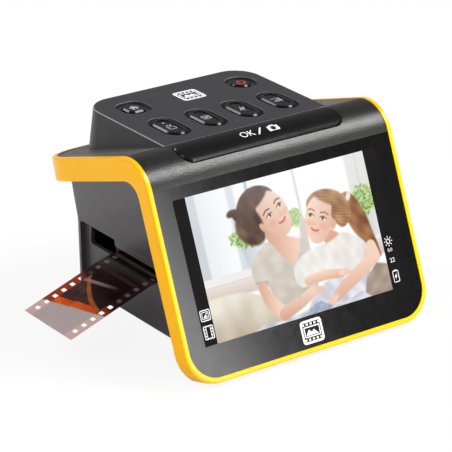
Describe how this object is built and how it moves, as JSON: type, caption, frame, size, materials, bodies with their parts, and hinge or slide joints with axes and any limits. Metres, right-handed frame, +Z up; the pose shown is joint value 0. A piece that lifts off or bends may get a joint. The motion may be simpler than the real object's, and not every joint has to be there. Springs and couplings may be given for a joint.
{
  "type": "film negative scanner",
  "caption": "Desktop film negative scanner with a leaning display front, keys on a raised top console and a film strip through side slots.",
  "frame": {"origin": "middle of the footprint, film strip included, on the desk under the feet", "axes": "+X to the viewer's right, +Y to the rear, +Z up"},
  "size_m": [0.186, 0.1225, 0.0891],
  "materials": {
    "yellow_trim": "gloss",
    "window_black": "high gloss",
    "satin_black": "satin",
    "stipple_black": "fine stipple",
    "charcoal": "matte",
    "key_black": "gloss",
    "housing_black": "satin",
    "insert_black": "satin",
    "foot_rubber": "matte",
    "screw_steel": "blackened",
    "board_green": "solder mask",
    "chip_black": "matte",
    "shield_metal": "brushed",
    "display_glass": "polished",
    "display_metal": "satin",
    "diffuser_white": "matte",
    "film_base": "gloss",
    "lens_glass": "polished",
    "light_pipe": "gloss"
  },
  "bodies": {
    "housing": {"base_plate": "housing_black", "card_socket": "shield_metal", "console": "charcoal", "curve_cover": "satin_black", "diffuser": "diffuser_white", "display_window": "window_black", "foot_1": "foot_rubber", "foot_2": "foot_rubber", "foot_3": "foot_rubber", "foot_4": "foot_rubber", "gate_track": "insert_black", "hdmi_socket": "shield_metal", "image_sensor": "chip_black", "key_board": "board_green", "lcd_frame": "display_metal", "lcd_glass": "display_glass", "lcd_module": "diffuser_white", "lens": "lens_glass", "lens_barrel": "insert_black", "lens_carrier": "insert_black", "light_board": "board_green", "light_box": "diffuser_white", "lower_body": "housing_black", "main_board": "board_green", "memory_chip": "chip_black", "optics_hood": "insert_black", "power_chip": "chip_black", "processor_can": "shield_metal", "screw_1": "screw_steel", "screw_2": "screw_steel", "screw_3": "screw_steel", "screw_4": "screw_steel", "screw_5": "screw_steel", "screw_6": "screw_steel", "sensor_board": "board_green", "status_light": "light_pipe", "switch_bar_left": "shield_metal", "switch_bar_right": "shield_metal", "switch_home_key": "shield_metal", "switch_key_left": "shield_metal", "switch_key_mid_left": "shield_metal", "switch_key_mid_right": "shield_metal", "switch_key_right": "shield_metal", "switch_power_key": "shield_metal", "trim_ring": "yellow_trim", "upper_body": "housing_black", "usb_socket": "shield_metal", "wing_deck": "stipple_black"},
    "key_left": {"key_left": "key_black"},
    "key_mid_left": {"key_mid_left": "key_black"},
    "key_mid_right": {"key_mid_right": "key_black"},
    "key_right": {"key_right": "key_black"},
    "home_key": {"home_key": "key_black"},
    "power_key": {"power_key": "key_black"},
    "ok_bar": {"ok_bar": "key_black"},
    "film_insert": {"film_insert": "insert_black"},
    "film_strip": {"film_strip": "film_base"}
  },
  "joints": [
    {"name": "key_left_press", "type": "slide", "parent": "housing", "child": "key_left", "axis": [0, 0, -1], "range_m": [0, 0.0006], "stiffness_N_per_m": 2500},
    {"name": "key_mid_left_press", "type": "slide", "parent": "housing", "child": "key_mid_left", "axis": [0, 0, -1], "range_m": [0, 0.0006], "stiffness_N_per_m": 2500},
    {"name": "key_mid_right_press", "type": "slide", "parent": "housing", "child": "key_mid_right", "axis": [0, 0, -1], "range_m": [0, 0.0006], "stiffness_N_per_m": 2500},
    {"name": "key_right_press", "type": "slide", "parent": "housing", "child": "key_right", "axis": [0, 0, -1], "range_m": [0, 0.0006], "stiffness_N_per_m": 2500},
    {"name": "home_key_press", "type": "slide", "parent": "housing", "child": "home_key", "axis": [0, 0, -1], "range_m": [0, 0.0006], "stiffness_N_per_m": 2500},
    {"name": "power_key_press", "type": "slide", "parent": "housing", "child": "power_key", "axis": [0, 0, -1], "range_m": [0, 0.0006], "stiffness_N_per_m": 2500},
    {"name": "ok_bar_press", "type": "slide", "parent": "housing", "child": "ok_bar", "axis": [0, 0.2588, -0.9659], "range_m": [0, 0.0008], "stiffness_N_per_m": 2000},
    {"name": "film_insert_slide", "type": "slide", "parent": "housing", "child": "film_insert", "axis": [1, 0, 0], "range_m": [0, 0.07]},
    {"name": "film_feed", "type": "slide", "parent": "housing", "child": "film_strip", "axis": [-1, 0, 0], "range_m": [0, 0.038]}
  ]
}
